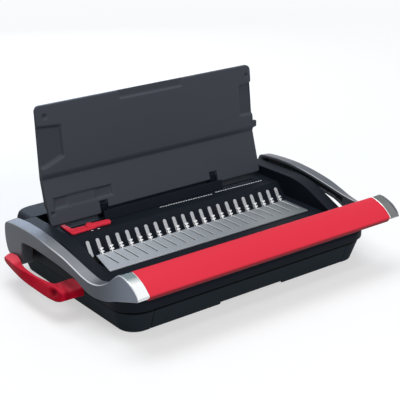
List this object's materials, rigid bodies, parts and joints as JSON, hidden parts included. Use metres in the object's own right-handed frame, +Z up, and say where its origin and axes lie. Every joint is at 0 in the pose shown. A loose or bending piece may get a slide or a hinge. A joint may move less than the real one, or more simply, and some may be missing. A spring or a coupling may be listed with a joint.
{
  "type": "comb binding machine",
  "caption": "Desktop comb binding machine with a red grip lever, open grey lid, slotted steel plate, upright fingers, waste drawer and red carry handle.",
  "frame": {"origin": "Middle of the base footprint on the table, under the machine's centre plane.", "axes": "+X to the operator's right along the row of comb slots, +Y to the back under the lid hinge, +Z up."},
  "size_m": [0.4404, 0.3019, 0.217],
  "materials": {
    "black_plastic": "fine grained black moulding",
    "deck_plastic": "smooth near black moulding with a soft sheen",
    "slate_plastic": "satin slate grey moulding",
    "silver_plastic": "silver grey paint with a soft sheen",
    "red_plastic": "satin red moulding",
    "collar_chrome": "polished bright trim",
    "satin_steel": "satin sheet steel",
    "bright_steel": "bright plated steel",
    "zinc_steel": "zinc plated steel",
    "black_steel": "blackened steel",
    "bush_bronze": "plain sintered bronze",
    "foot_rubber": "black rubber"
  },
  "bodies": {
    "base": {"base_tub": "black_plastic", "rubber_feet": "foot_rubber", "housing_screws": "zinc_steel", "upper_housing": "deck_plastic", "rear_cover": "deck_plastic", "work_plate": "satin_steel", "finger_comb": "bright_steel", "guide_plate": "black_steel", "die_plate": "black_steel", "throat_spacer": "black_steel", "throat_guard": "deck_plastic", "right_side_frame": "zinc_steel", "left_side_frame": "zinc_steel", "shaft_bushes": "bush_bronze", "hinge_brackets": "deck_plastic", "hinge_pins": "bright_steel", "carry_handle": "red_plastic", "handle_screw": "zinc_steel"},
    "lever": {"cross_shaft": "bright_steel", "right_crank": "zinc_steel", "left_crank": "zinc_steel", "right_arm": "silver_plastic", "left_arm": "silver_plastic", "right_arm_bar": "black_steel", "left_arm_bar": "black_steel", "shaft_rings": "zinc_steel", "grip_sleeve": "red_plastic", "right_collar": "collar_chrome", "left_collar": "collar_chrome", "grip_core": "zinc_steel"},
    "rake": {"opener_rake": "bright_steel", "right_rake_link": "zinc_steel", "left_rake_link": "zinc_steel"},
    "punch": {"punch_bar": "zinc_steel", "punch_pins": "bright_steel", "right_punch_link": "zinc_steel", "left_punch_link": "zinc_steel"},
    "lid": {"lid_panel": "slate_plastic", "lid_cover": "slate_plastic"},
    "guide": {"edge_guide": "red_plastic"},
    "drawer": {"waste_drawer": "black_plastic"}
  },
  "joints": [
    {"name": "lever_pivot", "type": "hinge", "parent": "base", "child": "lever", "pos_m": [0, 0.082, 0.054], "axis": [-1, 0, 0], "range_deg": [0, 70]},
    {"name": "rake_slide", "type": "slide", "parent": "base", "child": "rake", "axis": [0, -1, 0], "range_m": [0, 0.02295]},
    {"name": "punch_slide", "type": "slide", "parent": "base", "child": "punch", "axis": [0, -1, 0], "range_m": [0, 0.01206]},
    {"name": "lid_hinge", "type": "hinge", "parent": "base", "child": "lid", "pos_m": [0, 0.072, 0.08], "axis": [1, 0, 0], "range_deg": [0, 98]},
    {"name": "guide_slide", "type": "slide", "parent": "base", "child": "guide", "axis": [1, 0, 0], "range_m": [-0.005, 0.014]},
    {"name": "drawer_slide", "type": "slide", "parent": "base", "child": "drawer", "axis": [0, -1, 0], "range_m": [0, 0.15]}
  ],
  "couplings": [
    {"joint": "rake_slide", "follows": "lever_pivot", "m_per_rad": 0.01878},
    {"joint": "punch_slide", "follows": "lever_pivot", "m_per_rad": 0.00986}
  ]
}
